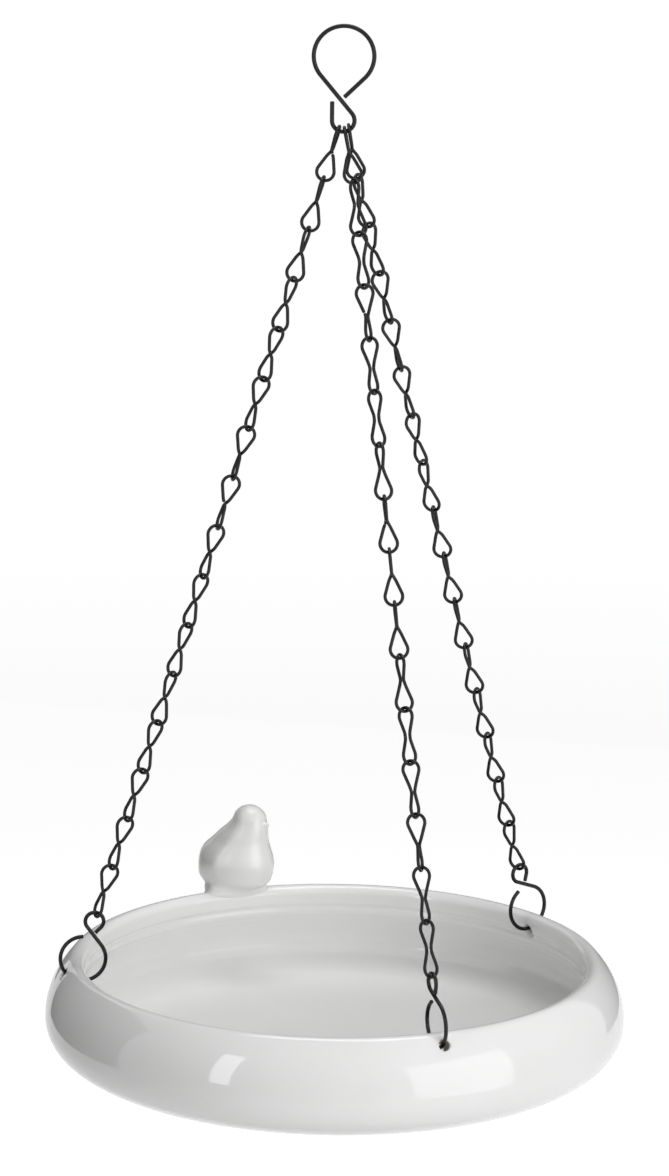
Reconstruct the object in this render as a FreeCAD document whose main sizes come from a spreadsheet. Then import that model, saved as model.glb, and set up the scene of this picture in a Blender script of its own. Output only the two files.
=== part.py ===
import FreeCAD, Part
import math
import os
import Sketcher
from FreeCAD import Placement, Rotation, Vector

# Hanging bird waterer in millimetres
# Origin where the top hook bears on its support, +Z up, the photo looks along +Y

doc = FreeCAD.newDocument("HangingBirdWaterer")
sheet = doc.addObject("Spreadsheet::Sheet", "Sizes")

# Driving sizes, each written once
driving_sizes = [
    # Glazed bowl, measured from its foot
    ("belly_radius", 140.0),
    ("belly_height", 21.8),
    ("belly_curve_rise", 3.8),
    ("belly_curve", "=belly_height - belly_curve_rise"),
    ("base_inset", 29.0),
    ("base_radius", "=belly_radius - base_inset"),
    ("rim_height", 50.4),
    ("lip_radius", 4.25),
    ("shoulder_turn", 46.17),
    ("bowl_wall", 7.5),
    ("band_depth", 11.0),
    ("band_slope", 1.2),
    ("foot_width", 13.0),
    ("foot_inner_radius", "=base_radius - foot_width"),
    ("foot_recess", 1.6),
    # Holes under the rim
    ("hole_diameter", 5.2),
    ("left_hole_depth", 6.9),
    ("front_hole_depth", 6.6),
    ("rear_hole_depth", 5.4),
    ("hole_tilt", 31.0),
    ("hole_spread", 74.6),
    ("bird_bearing", 112.8),
    ("balance_x", 1.32),
    ("balance_y", -3.19),
    # Top hook
    ("top_wire", 2.05),
    ("top_upper_radius", 14.1),
    ("top_lower_radius", 5.25),
    ("top_centres", 30.2),
    ("top_upper_tail", 12.9),
    ("top_lower_tail", 8.7),
    ("top_upper_turn", 46.0),
    ("top_lower_turn", 0.0),
    # Rim hooks
    ("rim_wire", 1.9),
    ("rim_upper_radius", 4.4),
    ("rim_lower_radius", 10.9),
    ("rim_centres", 19.2),
    ("rim_upper_tail", 3.4),
    ("rim_lower_tail", 1.0),
    ("rim_upper_turn", 30.0),
    ("rim_lower_turn", 68.0),
    # Chain links
    ("link_wire", 1.6),
    ("link_pitch", 24.66),
    ("link_eye_radius", 4.1),
    ("link_waist_spread", 1.56),
    ("link_waist_rise", 1.5),
    ("link_waist_bend", 5.0),
    ("link_cut_gap", 0.4),
    ("chain_sag", 0.9),
    ("wire_clearance", 0.12),
    ("bend_clearance", 0.2),
    ("mouth_clearance", 0.52),
    # Bird on the rim
    ("bird_heading", -30.0),
    ("bird_height", 44.4),
    ("bird_head_radius", 8.2),
    ("bird_head_height", "=bird_height - bird_head_radius"),
    ("bird_head_forward", 6.9),
    ("bird_beak_radius", 2.7),
    ("bird_beak_tip_radius", 0.4),
    ("bird_beak_length", 7.0),
    ("bird_beak_depth", 3.6),
    ("bird_beak_drop", 1.6),
    ("bird_beak_droop", 14.0),
    ("bird_tail_radius", 4.2),
    ("bird_tail_tip_radius", 2.2),
    ("bird_tail_length", 15.0),
    ("bird_tail_back", 8.0),
    ("bird_tail_height", 7.5),
    ("bird_tail_droop", 38.5),
    ("bird_hollow_radius", 12.0),
    ("bird_hollow_back", 0.5),
    ("bird_hollow_height", 14.5),
]
for row, (alias, value) in enumerate(driving_sizes, start=1):
    sheet.set("A%d" % row, alias)
    sheet.set("B%d" % row, str(value))
    sheet.setAlias("B%d" % row, alias)
doc.recompute()


def size(alias):
    return float(sheet.get(alias))


links_per_chain = 16

# Bird stations as shares of its height: height above the rim, forward offset,
# half length and half width
bird_stations = [
    (-0.124, 0.0, 0.191, 0.180),
    (-0.034, 0.0, 0.315, 0.275),
    (0.101, -0.002, 0.390, 0.329),
    (0.286, -0.007, 0.432, 0.360),
    (0.462, -0.005, 0.403, 0.329),
    (0.635, 0.068, 0.295, 0.252),
    (0.809, 0.146, 0.196, 0.180),
]

# Turn of each link's upper eye from the photo plane, in degrees from the top
left_turns = [80, 80, 73, 56, 42, 25, 10, 12, 26, 38, 47, 55, 41, 27, 28, 22]
front_turns = [-90, -62, -38, -18, -30, -46, -66, -84, -90, -86, -66, -44, -27, -14, -27, -45]
rear_turns = [90, 62, 42, 24, 16, 24, 40, 60, 80, 82, 84, 78, 68, 68, 61, 52]

# Cut gaps that stand wider open than the others, by link number
left_open_gaps = {1: 1.0, 8: 0.9}
front_open_gaps = {4: 1.3, 8: 0.9}
rear_open_gaps = {3: 0.8}

# Sideways set of the first link of a chain, where the links crowd on the hook
left_first_set = Vector(0.0, 0.0, 0.0)
front_first_set = Vector(1.90, 0.40, 0.0)
rear_first_set = Vector(-1.50, -0.60, 0.0)

# Places of the three chains round the hook's lower bend, in degrees from its bottom
left_seat = -33.0
front_seat = 10.0
rear_seat = 50.0


def polar(radius, degrees):
    angle = math.radians(degrees)
    return Vector(radius * math.cos(angle), radius * math.sin(angle), 0.0)


def frame_placement(position, x_direction, z_direction):
    z_axis = Vector(z_direction).normalize()
    y_axis = z_axis.cross(x_direction).normalize()
    x_axis = y_axis.cross(z_axis)
    return Placement(position, Rotation(x_axis, y_axis, z_axis, "ZXY"))


# Worked-out heights and lengths
belly_z = size("belly_height")
shoulder_angle = math.radians(size("shoulder_turn"))
shoulder_rise = size("rim_height") - size("lip_radius") - belly_z
mid_wall_curve = shoulder_rise / math.sin(shoulder_angle)
shoulder_curve = mid_wall_curve + size("lip_radius")
shoulder_centre_radius = size("belly_radius") - shoulder_curve
lip_centre_radius = shoulder_centre_radius + mid_wall_curve * math.cos(shoulder_angle)
hole_tilt = math.radians(size("hole_tilt"))

top_upper_z = size("top_wire") / 2 - size("top_upper_radius")
top_lower_z = top_upper_z - size("top_centres")
seat_radius = (size("top_lower_radius") - size("top_wire") / 2 - size("link_wire") / 2
               - size("bend_clearance"))

hook_to_link = (size("rim_wire") + size("link_wire")) / 2 + size("wire_clearance")
link_overlap = size("link_wire") + size("wire_clearance")

# The rim hook's loop bears on both mouths of its hole, a clearance off
loop_radius = size("rim_lower_radius")
mouth_rise = loop_radius - math.sqrt(loop_radius ** 2 - size("lip_radius") ** 2)
loop_lift = (size("hole_diameter") - size("rim_wire")) / 2 - mouth_rise - size("mouth_clearance")
loop_offset = loop_radius + loop_lift

# The holes lie where the wall's middle line has each hole's depth under the rim
bearings = {
    "left": size("bird_bearing") + size("hole_spread"),
    "front": size("bird_bearing") + 180.0,
    "rear": size("bird_bearing") - size("hole_spread"),
}
arm_length = (links_per_chain * size("link_pitch") + link_overlap - hook_to_link
              + size("rim_upper_radius") + size("rim_centres"))
up = Vector(0, 0, 1)
hole_middles = {}
loop_centres = {}
arm_drops = []
for side, bearing in bearings.items():
    outward = polar(1.0, bearing)
    hole_height = size("rim_height") - size(side + "_hole_depth")
    hole_angle = math.asin((hole_height - belly_z) / mid_wall_curve)
    hole_radius = shoulder_centre_radius + mid_wall_curve * math.cos(hole_angle)
    hole_middles[side] = outward * hole_radius + up * hole_height
    loop_way = up * math.cos(hole_tilt) - outward * math.sin(hole_tilt)
    loop_centre = hole_middles[side] + loop_way * loop_offset
    loop_centres[side] = loop_centre
    reach = math.hypot(loop_centre.x, loop_centre.y)
    arm_drops.append(math.sqrt(arm_length ** 2 - reach ** 2) + loop_centre.z)

# The bowl hangs level, as low as the mean of its three arms lets it
bowl_origin = Vector(size("balance_x"), size("balance_y"),
                     top_lower_z - seat_radius - sum(arm_drops) / len(arm_drops))


# Bowl: one revolved section with a recessed foot, a round belly and a turned-in lip
def make_bowl():
    body = doc.addObject("PartDesign::Body", "BowlPot")
    section = body.newObject("Sketcher::SketchObject", "BowlSection")
    origin_planes = {item.Role: item for item in body.Origin.OriginFeatures}
    section.AttachmentSupport = [(origin_planes["XZ_Plane"], "")]
    section.MapMode = "FlatFace"

    belly_r = size("belly_radius")
    belly_curve = size("belly_curve")
    shoulder = shoulder_curve
    lip = size("lip_radius")
    wall = size("bowl_wall")
    rim_z = size("rim_height")
    corner_run = belly_r - belly_curve - size("base_radius")
    corner_rise = belly_z - belly_curve
    corner_angle = 2 * math.atan2(corner_run, corner_rise) - math.pi / 2
    corner_curve = belly_curve + corner_run / math.cos(corner_angle)
    corner_centre = Vector(size("base_radius"), corner_curve, 0)
    belly_centre = Vector(belly_r - belly_curve, belly_z, 0)
    shoulder_centre = Vector(belly_r - shoulder, belly_z, 0)
    lip_centre = shoulder_centre + polar(shoulder - lip, math.degrees(shoulder_angle))
    band_angle = math.asin((rim_z - size("band_depth") - belly_z) / (shoulder - 2 * lip))
    wall_top = rim_z - size("band_depth") - size("band_slope")
    wall_angle = math.asin((wall_top - belly_z) / (shoulder - wall))

    def arc(centre, radius, start, end):
        circle = Part.Circle(centre, Vector(0, 0, 1), radius)
        return Part.ArcOfCircle(circle, start, end)

    def line(start, end):
        return Part.LineSegment(start, end)

    band_end = shoulder_centre + polar(shoulder - 2 * lip, math.degrees(band_angle))
    wall_end = shoulder_centre + polar(shoulder - wall, math.degrees(wall_angle))
    recess = size("foot_recess")
    foot_inner = size("foot_inner_radius")
    floor_edge = Vector(size("base_radius"), wall, 0)
    quarter = math.pi / 2
    pieces = [
        line(Vector(0, recess, 0), Vector(foot_inner, recess, 0)),
        line(Vector(foot_inner, recess, 0), Vector(foot_inner, 0, 0)),
        line(Vector(foot_inner, 0, 0), Vector(size("base_radius"), 0, 0)),
        arc(corner_centre, corner_curve, -quarter, -corner_angle),
        arc(belly_centre, belly_curve, -corner_angle, 0),
        arc(shoulder_centre, shoulder, 0, shoulder_angle),
        arc(lip_centre, lip, shoulder_angle, shoulder_angle + math.pi),
        arc(shoulder_centre, shoulder - 2 * lip, band_angle, shoulder_angle),
        line(band_end, wall_end),
        arc(shoulder_centre, shoulder - wall, 0, wall_angle),
        arc(belly_centre, belly_curve - wall, -corner_angle, 0),
        arc(corner_centre, corner_curve - wall, -quarter, -corner_angle),
        line(floor_edge, Vector(0, wall, 0)),
        line(Vector(0, wall, 0), Vector(0, recess, 0)),
    ]
    (ceiling, step, land, corner, belly, upper, lip_arc, band, slope, wall_arc,
     belly_in, corner_in, floor, middle) = section.addGeometry(pieces, False)
    start, end, centre = 1, 2, 3
    rules = [
        ("Coincident", ceiling, end, step, start),
        ("Coincident", step, end, land, start),
        ("Tangent", land, end, corner, start),
        ("Tangent", corner, end, belly, start),
        ("Tangent", belly, end, upper, start),
        ("Tangent", upper, end, lip_arc, start),
        ("Tangent", lip_arc, end, band, end),
        ("Coincident", band, start, slope, start),
        ("Coincident", slope, end, wall_arc, end),
        ("Tangent", wall_arc, start, belly_in, end),
        ("Tangent", belly_in, start, corner_in, end),
        ("Tangent", corner_in, start, floor, start),
        ("Coincident", floor, end, middle, start),
        ("Coincident", middle, end, ceiling, start),
        ("Coincident", band, centre, upper, centre),
        ("Coincident", wall_arc, centre, upper, centre),
        ("Coincident", belly_in, centre, belly, centre),
        ("Coincident", corner_in, centre, corner, centre),
        ("Horizontal", ceiling),
        ("Vertical", step),
        ("Horizontal", floor),
        ("PointOnObject", land, start, -1),
        ("PointOnObject", land, end, -1),
        ("PointOnObject", middle, start, -2),
        ("PointOnObject", middle, end, -2),
    ]
    for rule in rules:
        section.addConstraint(Sketcher.Constraint(*rule))

    def bind(expression, *rule):
        index = section.addConstraint(Sketcher.Constraint(*rule))
        section.setExpression("Constraints[%d]" % index, expression)

    bind("Sizes.foot_recess", "DistanceY", -1, 1, ceiling, start, recess)
    bind("Sizes.foot_inner_radius", "DistanceX", -1, 1, land, start, foot_inner)
    bind("Sizes.base_radius", "DistanceX", -1, 1, land, end, size("base_radius"))
    bind("Sizes.belly_curve", "Radius", belly, belly_curve)
    bind("Sizes.lip_radius + (Sizes.rim_height - Sizes.lip_radius - Sizes.belly_height)"
         " / sin(Sizes.shoulder_turn * 1 deg)", "Radius", upper, shoulder)
    bind("Sizes.belly_radius", "DistanceX", -1, 1, upper, start, belly_r)
    bind("Sizes.belly_height", "DistanceY", -1, 1, upper, start, belly_z)
    bind("Sizes.belly_height", "DistanceY", -1, 1, upper, centre, belly_z)
    bind("Sizes.lip_radius", "Radius", lip_arc, lip)
    bind("Sizes.rim_height - Sizes.lip_radius", "DistanceY", -1, 1, lip_arc, centre, rim_z - lip)
    bind("Sizes.lip_radius + (Sizes.rim_height - Sizes.lip_radius - Sizes.belly_height)"
         " / sin(Sizes.shoulder_turn * 1 deg) - Sizes.bowl_wall",
         "Radius", wall_arc, shoulder - wall)
    bind("Sizes.rim_height - Sizes.band_depth",
         "DistanceY", -1, 1, slope, start, rim_z - size("band_depth"))
    bind("Sizes.rim_height - Sizes.band_depth - Sizes.band_slope",
         "DistanceY", -1, 1, slope, end, wall_top)

    pot = body.newObject("PartDesign::Revolution", "Pot")
    pot.Profile = section
    pot.ReferenceAxis = (section, ["V_Axis"])
    pot.Angle = 360
    doc.recompute()

    # Each hook hole runs from inside the bowl outwards and a little up
    holed = body
    for side, bearing in bearings.items():
        drill = doc.addObject("Part::Cylinder", side.title() + "HookDrill")
        drill.setExpression("Radius", "Sizes.hole_diameter / 2")
        drill.setExpression("Height", "4 * Sizes.bowl_wall")
        outward = polar(1.0, bearing)
        direction = outward * math.cos(hole_tilt) + up * math.sin(hole_tilt)
        start_point = hole_middles[side] - direction * (2 * size("bowl_wall"))
        drill.Placement = Placement(start_point, Rotation(up, direction))
        bored = doc.addObject("Part::Cut", side.title() + "HookHole")
        bored.Base = holed
        bored.Tool = drill
        holed = bored
    holed.Label = "bowl"
    holed.Placement = Placement(bowl_origin, Rotation())
    doc.recompute()
    return holed


# Bird: lofted body, round head, short beak and tail, hollow inside, seated over the lip
def make_bird(bowl):
    ellipses = []
    tall = size("bird_height")
    for number, (height, forward, half_length, half_width) in enumerate(bird_stations, start=1):
        ellipse = doc.addObject("Part::Ellipse", "BirdStation%d" % number)
        ellipse.MajorRadius = tall * half_length
        ellipse.MinorRadius = tall * half_width
        ellipse.Placement = Placement(Vector(forward, 0, height) * tall, Rotation())
        ellipses.append(ellipse)
    trunk = doc.addObject("Part::Loft", "BirdTrunk")
    trunk.Sections = ellipses
    trunk.Solid = True
    head = doc.addObject("Part::Sphere", "BirdHead")
    head.setExpression("Radius", "Sizes.bird_head_radius")
    head_centre = Vector(size("bird_head_forward"), 0, size("bird_head_height"))
    head.Placement = Placement(head_centre, Rotation())

    beak = doc.addObject("Part::Cone", "BirdBeak")
    beak.setExpression("Radius1", "Sizes.bird_beak_radius")
    beak.setExpression("Radius2", "Sizes.bird_beak_tip_radius")
    beak.setExpression("Height", "Sizes.bird_beak_length")
    droop = math.radians(size("bird_beak_droop"))
    beak_direction = Vector(math.cos(droop), 0, -math.sin(droop))
    beak_root = head_centre + beak_direction * (size("bird_head_radius") - size("bird_beak_depth"))
    beak_drop = Vector(0, 0, -size("bird_beak_drop"))
    beak.Placement = Placement(beak_root + beak_drop, Rotation(Vector(0, 0, 1), beak_direction))

    tail = doc.addObject("Part::Cone", "BirdTail")
    tail.setExpression("Radius1", "Sizes.bird_tail_radius")
    tail.setExpression("Radius2", "Sizes.bird_tail_tip_radius")
    tail.setExpression("Height", "Sizes.bird_tail_length")
    tail_droop = math.radians(size("bird_tail_droop"))
    tail_direction = Vector(-math.cos(tail_droop), 0, -math.sin(tail_droop))
    tail_root = Vector(-size("bird_tail_back"), 0, size("bird_tail_height"))
    tail.Placement = Placement(tail_root, Rotation(Vector(0, 0, 1), tail_direction))

    form = doc.addObject("Part::MultiFuse", "BirdForm")
    form.Shapes = [trunk, head, beak, tail]
    hollow = doc.addObject("Part::Sphere", "BirdHollow")
    hollow.setExpression("Radius", "Sizes.bird_hollow_radius")
    hollow_centre = Vector(-size("bird_hollow_back"), 0, size("bird_hollow_height"))
    hollow.Placement = Placement(hollow_centre, Rotation())
    cast = doc.addObject("Part::Cut", "BirdCast")
    cast.Base = form
    cast.Tool = hollow
    seat = polar(lip_centre_radius, size("bird_bearing")) + Vector(0, 0, size("rim_height"))
    cast.Placement = Placement(bowl_origin + seat,
                               Rotation(Vector(0, 0, 1), size("bird_heading")))
    bird = doc.addObject("Part::Cut", "Bird")
    bird.Label = "bird_figurine"
    bird.Base = cast
    bird.Tool = bowl
    return bird


# Wire hook: an upper loop, a straight slant across the middle and a lower loop
def make_hook(label, prefix, placement):
    body = doc.addObject("PartDesign::Body", label.title().replace("_", ""))
    body.Label = label
    path = body.newObject("Sketcher::SketchObject", "Path")
    origin_planes = {item.Role: item for item in body.Origin.OriginFeatures}
    path.AttachmentSupport = [(origin_planes["XZ_Plane"], "")]
    path.MapMode = "FlatFace"
    upper_r = size(prefix + "_upper_radius")
    lower_r = size(prefix + "_lower_radius")
    centres = size(prefix + "_centres")
    slant = math.asin((upper_r + lower_r) / centres)
    upper_turn = math.radians(size(prefix + "_upper_turn"))
    lower_turn = math.radians(size(prefix + "_lower_turn"))
    lower_centre = Vector(0, -centres, 0)

    def on_circle(centre, radius, angle):
        return centre + Vector(radius * math.cos(angle), radius * math.sin(angle), 0)

    upper_end = on_circle(Vector(), upper_r, -upper_turn)
    upper_tail_way = Vector(-math.sin(upper_turn), -math.cos(upper_turn), 0)
    upper_tip = upper_end + upper_tail_way * size(prefix + "_upper_tail")
    slant_top = on_circle(Vector(), upper_r, math.pi + slant)
    slant_foot = on_circle(lower_centre, lower_r, slant)
    lower_end = on_circle(lower_centre, lower_r, math.pi - lower_turn)
    lower_tail_way = Vector(math.sin(lower_turn), math.cos(lower_turn), 0)
    lower_tip = lower_end + lower_tail_way * size(prefix + "_lower_tail")
    upper_circle = Part.Circle(Vector(), Vector(0, 0, 1), upper_r)
    lower_circle = Part.Circle(lower_centre, Vector(0, 0, 1), lower_r)
    upper_tail, upper_loop, middle, lower_loop, lower_tail = path.addGeometry([
        Part.LineSegment(upper_tip, upper_end),
        Part.ArcOfCircle(upper_circle, -upper_turn, math.pi + slant),
        Part.LineSegment(slant_top, slant_foot),
        Part.ArcOfCircle(lower_circle, math.pi - lower_turn, 2 * math.pi + slant),
        Part.LineSegment(lower_end, lower_tip),
    ], False)
    start, end, centre = 1, 2, 3
    for rule in (
        ("Tangent", upper_tail, end, upper_loop, start),
        ("Tangent", upper_loop, end, middle, start),
        ("Tangent", middle, end, lower_loop, end),
        ("Tangent", lower_loop, start, lower_tail, start),
        ("Coincident", upper_loop, centre, -1, 1),
        ("PointOnObject", lower_loop, centre, -2),
    ):
        path.addConstraint(Sketcher.Constraint(*rule))

    def bind(expression, *rule):
        index = path.addConstraint(Sketcher.Constraint(*rule))
        path.setExpression("Constraints[%d]" % index, expression)

    bind("Sizes.%s_upper_radius" % prefix, "Radius", upper_loop, upper_r)
    bind("Sizes.%s_lower_radius" % prefix, "Radius", lower_loop, lower_r)
    bind("Sizes.%s_centres" % prefix, "DistanceY", lower_loop, centre, -1, 1, centres)
    bind("Sizes.%s_upper_tail" % prefix, "Distance", upper_tail, size(prefix + "_upper_tail"))
    bind("Sizes.%s_lower_tail" % prefix, "Distance", lower_tail, size(prefix + "_lower_tail"))
    bind("Sizes.%s_upper_radius * sin(Sizes.%s_upper_turn)" % (prefix, prefix),
         "DistanceY", upper_loop, start, -1, 1, upper_r * math.sin(upper_turn))
    bind("Sizes.%s_lower_radius * sin(Sizes.%s_lower_turn)" % (prefix, prefix),
         "DistanceY", lower_loop, centre, lower_loop, start, lower_r * math.sin(lower_turn))
    doc.recompute()

    section = body.newObject("Sketcher::SketchObject", "WireSection")
    section.AttachmentSupport = [(path, "Edge1")]
    section.MapMode = "NormalToEdge"
    section.MapPathParameter = 0.0
    wire_r = size(prefix + "_wire") / 2
    circle = section.addGeometry(Part.Circle(Vector(), Vector(0, 0, 1), wire_r), False)
    section.addConstraint(Sketcher.Constraint("Coincident", circle, 3, -1, 1))
    index = section.addConstraint(Sketcher.Constraint("Radius", circle, wire_r))
    section.setExpression("Constraints[%d]" % index, "Sizes.%s_wire / 2" % prefix)
    doc.recompute()
    wire = body.newObject("PartDesign::AdditivePipe", "Wire")
    wire.Profile = section
    wire.Spine = path
    doc.recompute()
    body.Placement = placement
    return body


# Link path: an upper eye, the crossing at the waist and a lower eye a quarter turn on
def link_shape(half_length, cut_gap):
    wire_r = size("link_wire") / 2
    eye_r = size("link_eye_radius")
    spread = size("link_waist_spread")
    rise = size("link_waist_rise")
    bend = size("link_waist_bend")
    eye_z = half_length - eye_r
    leg_foot = Vector(spread, 0, rise)
    reach = math.hypot(spread, eye_z - rise)
    side_angle = math.atan2(rise - eye_z, spread) + math.acos(eye_r / reach)
    leg_top = Vector(eye_r * math.cos(side_angle), 0, eye_z + eye_r * math.sin(side_angle))

    def mirrored(point):
        return Vector(-point.x, point.y, point.z)

    def lower(point):
        return Vector(point.y, point.x, -point.z)

    # Unit vectors and tangent lengths at the waist corners
    def rounded(before, corner, after):
        first = (before - corner).normalize()
        second = (after - corner).normalize()
        half_turn = (math.pi - first.getAngle(second)) / 2
        reach_back = bend * math.tan(half_turn)
        entry = corner + first * reach_back
        leave = corner + second * reach_back
        inward = (first + second).normalize()
        middle = corner + inward * (bend / math.cos(half_turn) - bend)
        return entry, middle, leave

    through_top = rounded(leg_top, leg_foot, lower(leg_foot))
    through_low = rounded(leg_foot, lower(leg_foot), lower(leg_top))
    cut_leg_top = mirrored(leg_top)
    cut_foot = mirrored(leg_foot)
    cut_top = rounded(cut_leg_top, cut_foot, lower(cut_foot))
    cut_low = rounded(cut_foot, lower(cut_foot), lower(cut_leg_top))
    cut_middle = (cut_foot + lower(cut_foot)) * 0.5
    cut_way = (lower(cut_foot) - cut_foot).normalize()
    upper_cut = cut_middle - cut_way * (cut_gap / 2)
    lower_cut = cut_middle + cut_way * (cut_gap / 2)
    eye_top = Vector(0, 0, half_length)

    edges = [
        Part.LineSegment(upper_cut, cut_top[2]),
        Part.Arc(cut_top[2], cut_top[1], cut_top[0]),
        Part.LineSegment(cut_top[0], cut_leg_top),
        Part.Arc(cut_leg_top, eye_top, leg_top),
        Part.LineSegment(leg_top, through_top[0]),
        Part.Arc(through_top[0], through_top[1], through_top[2]),
        Part.LineSegment(through_top[2], through_low[0]),
        Part.Arc(through_low[0], through_low[1], through_low[2]),
        Part.LineSegment(through_low[2], lower(leg_top)),
        Part.Arc(lower(leg_top), lower(eye_top), lower(cut_leg_top)),
        Part.LineSegment(lower(cut_leg_top), cut_low[2]),
        Part.Arc(cut_low[2], cut_low[1], cut_low[0]),
        Part.LineSegment(cut_low[0], lower_cut),
    ]
    path = Part.Wire([edge.toShape() for edge in edges])
    circle = Part.makeCircle(wire_r, upper_cut, cut_top[2] - upper_cut)
    wire = path.makePipeShell([Part.Wire([circle])], True, False)
    if wire.Volume < 0:
        wire.reverse()
    return wire


# Chain: straight but for a slight sag, every link hooked in the one above it
def make_chain(side, first_centre, last_centre, first_set, turns, open_gaps):
    span = last_centre - first_centre
    pitch = span.Length / links_per_chain
    second_centre = first_centre + span.normalize() * pitch + first_set
    rest = last_centre - second_centre
    rest_count = links_per_chain - 1
    pitch = rest.Length / rest_count
    first_drop = math.sqrt(pitch ** 2 - (second_centre.x - first_centre.x) ** 2
                           - (second_centre.y - first_centre.y) ** 2)
    second_centre.z = first_centre.z - first_drop
    rest = last_centre - second_centre
    pitch = rest.Length / rest_count
    rest_way = Vector(rest).normalize()
    sag_way = (Vector(0, 0, -1) + rest_way * rest_way.z).normalize()
    tops = [first_centre]
    for number in range(links_per_chain):
        along = number / rest_count
        sag = 4 * size("chain_sag") * along * (1 - along)
        tops.append(second_centre + rest * along + sag_way * sag)
    half_length = (pitch + link_overlap) / 2
    shapes = {}
    links = []
    for number in range(1, links_per_chain + 1):
        top = tops[number - 1]
        following = tops[number]
        up = (top - following).normalize()
        cut_gap = open_gaps.get(number, size("link_cut_gap"))
        if cut_gap not in shapes:
            shapes[cut_gap] = link_shape(half_length, cut_gap)
        link = doc.addObject("Part::Feature", "%sChainLink%02d" % (side.title(), number))
        link.Label = "%s_chain_link_%02d" % (side, number)
        link.Shape = shapes[cut_gap]
        centre = top - up * half_length
        link.Placement = frame_placement(centre, polar(1.0, turns[number - 1]), up)
        links.append(link)
    return links, pitch


# One arm of the suspension: a rim hook through its hole and the chain above it
def make_arm(side, seat_angle, first_set, turns, open_gaps, slant_outside):
    outward = polar(1.0, bearings[side])
    loop_centre = bowl_origin + loop_centres[side]
    seat = math.radians(seat_angle)
    first_top = Vector(seat_radius * math.sin(seat), 0, top_lower_z - seat_radius * math.cos(seat))
    arm_way = (first_top - loop_centre).normalize()
    upper_centre = loop_centre + arm_way * size("rim_centres")
    last_top = upper_centre + arm_way * (size("rim_upper_radius") + link_overlap - hook_to_link)
    links, pitch = make_chain(side, first_top, last_top, first_set, turns, open_gaps)
    slant_side = outward if slant_outside else outward * -1
    hook = make_hook(side + "_rim_hook", "rim", frame_placement(upper_centre, slant_side, arm_way))
    print(side, "chain pitch %.3f" % pitch)
    return [hook] + links


bowl = make_bowl()
bird = make_bird(bowl)
top_hook = make_hook("top_hook", "top", Placement(Vector(0, 0, top_upper_z), Rotation()))
pieces = [bowl, bird, top_hook]
pieces += make_arm("left", left_seat, left_first_set, left_turns, left_open_gaps, False)
pieces += make_arm("front", front_seat, front_first_set, front_turns, front_open_gaps, True)
pieces += make_arm("rear", rear_seat, rear_first_set, rear_turns, rear_open_gaps, True)
doc.recompute()

# Nothing is written unless every object and every piece is sound
for item in doc.Objects:
    if "Invalid" in item.State or "Error" in item.State:
        raise RuntimeError("object failed: " + item.Label)
for piece in pieces:
    if piece.Shape.isNull() or not piece.Shape.isValid():
        raise RuntimeError("bad shape: " + piece.Label)
    if len(piece.Shape.Solids) != 1:
        raise RuntimeError("not one solid: " + piece.Label)

os.makedirs("parts", exist_ok=True)
for piece in pieces:
    piece.Shape.exportStep("parts/" + piece.Label + ".step")
print(len(pieces), "pieces written")
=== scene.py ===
import math
import bmesh
import bpy
from mathutils import Matrix, Vector


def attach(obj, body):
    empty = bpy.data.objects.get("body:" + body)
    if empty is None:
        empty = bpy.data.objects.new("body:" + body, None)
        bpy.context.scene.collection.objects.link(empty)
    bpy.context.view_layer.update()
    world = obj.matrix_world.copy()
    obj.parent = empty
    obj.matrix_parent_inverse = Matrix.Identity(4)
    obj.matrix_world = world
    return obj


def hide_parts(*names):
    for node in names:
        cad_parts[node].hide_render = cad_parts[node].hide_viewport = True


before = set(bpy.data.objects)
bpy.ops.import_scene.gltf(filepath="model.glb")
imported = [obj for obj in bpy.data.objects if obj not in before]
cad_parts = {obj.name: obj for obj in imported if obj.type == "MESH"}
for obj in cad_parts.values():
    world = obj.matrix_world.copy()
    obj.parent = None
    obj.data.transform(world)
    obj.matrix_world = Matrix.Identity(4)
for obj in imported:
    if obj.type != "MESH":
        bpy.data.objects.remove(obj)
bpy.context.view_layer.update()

mm = 0.001


# Small helpers
def fromHex(code):
    # sRGB hex to the linear colour that the shader nodes expect
    channels = [int(code[i:i + 2], 16) / 255 for i in (1, 3, 5)]
    linear = [c / 12.92 if c <= 0.04045 else ((c + 0.055) / 1.055) ** 2.4 for c in channels]
    return (*linear, 1.0)


def addNode(tree, kind, settings=None, inputs=None):
    node = tree.nodes.new(kind)
    for key, value in (settings or {}).items():
        setattr(node, key, value)
    for key, value in (inputs or {}).items():
        if isinstance(value, bpy.types.NodeSocket):
            tree.links.new(value, node.inputs[key])
        else:
            node.inputs[key].default_value = value
    return node


def newMaterial(name):
    material = bpy.data.materials.new(name)
    material.use_nodes = True
    material.node_tree.nodes.clear()
    return material, material.node_tree


def newObject(name, data):
    obj = bpy.data.objects.new(name, data)
    bpy.context.scene.collection.objects.link(obj)
    return obj


def polar(radius, degrees):
    angle = math.radians(degrees)
    return Vector((radius * math.cos(angle), radius * math.sin(angle), 0.0))


def arcPoints(centre, radius, start, end, steps):
    # points of a flat arc as (across, up) pairs, angles in radians
    angles = [start + (end - start) * i / steps for i in range(steps + 1)]
    return [(centre[0] + radius * math.cos(a), centre[1] + radius * math.sin(a)) for a in angles]


# Camera
cameraValues = {
    "place": (1.32, -2546.5, 333.28),  # millimetres from the hanging point
    "yaw": 0.06, "pitch": 13.27, "roll": -0.72,  # degrees
    "sensor": 36.0, "lens": 168.37,    # millimetres
    "farClip": 50.0,                   # metres
}


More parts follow.
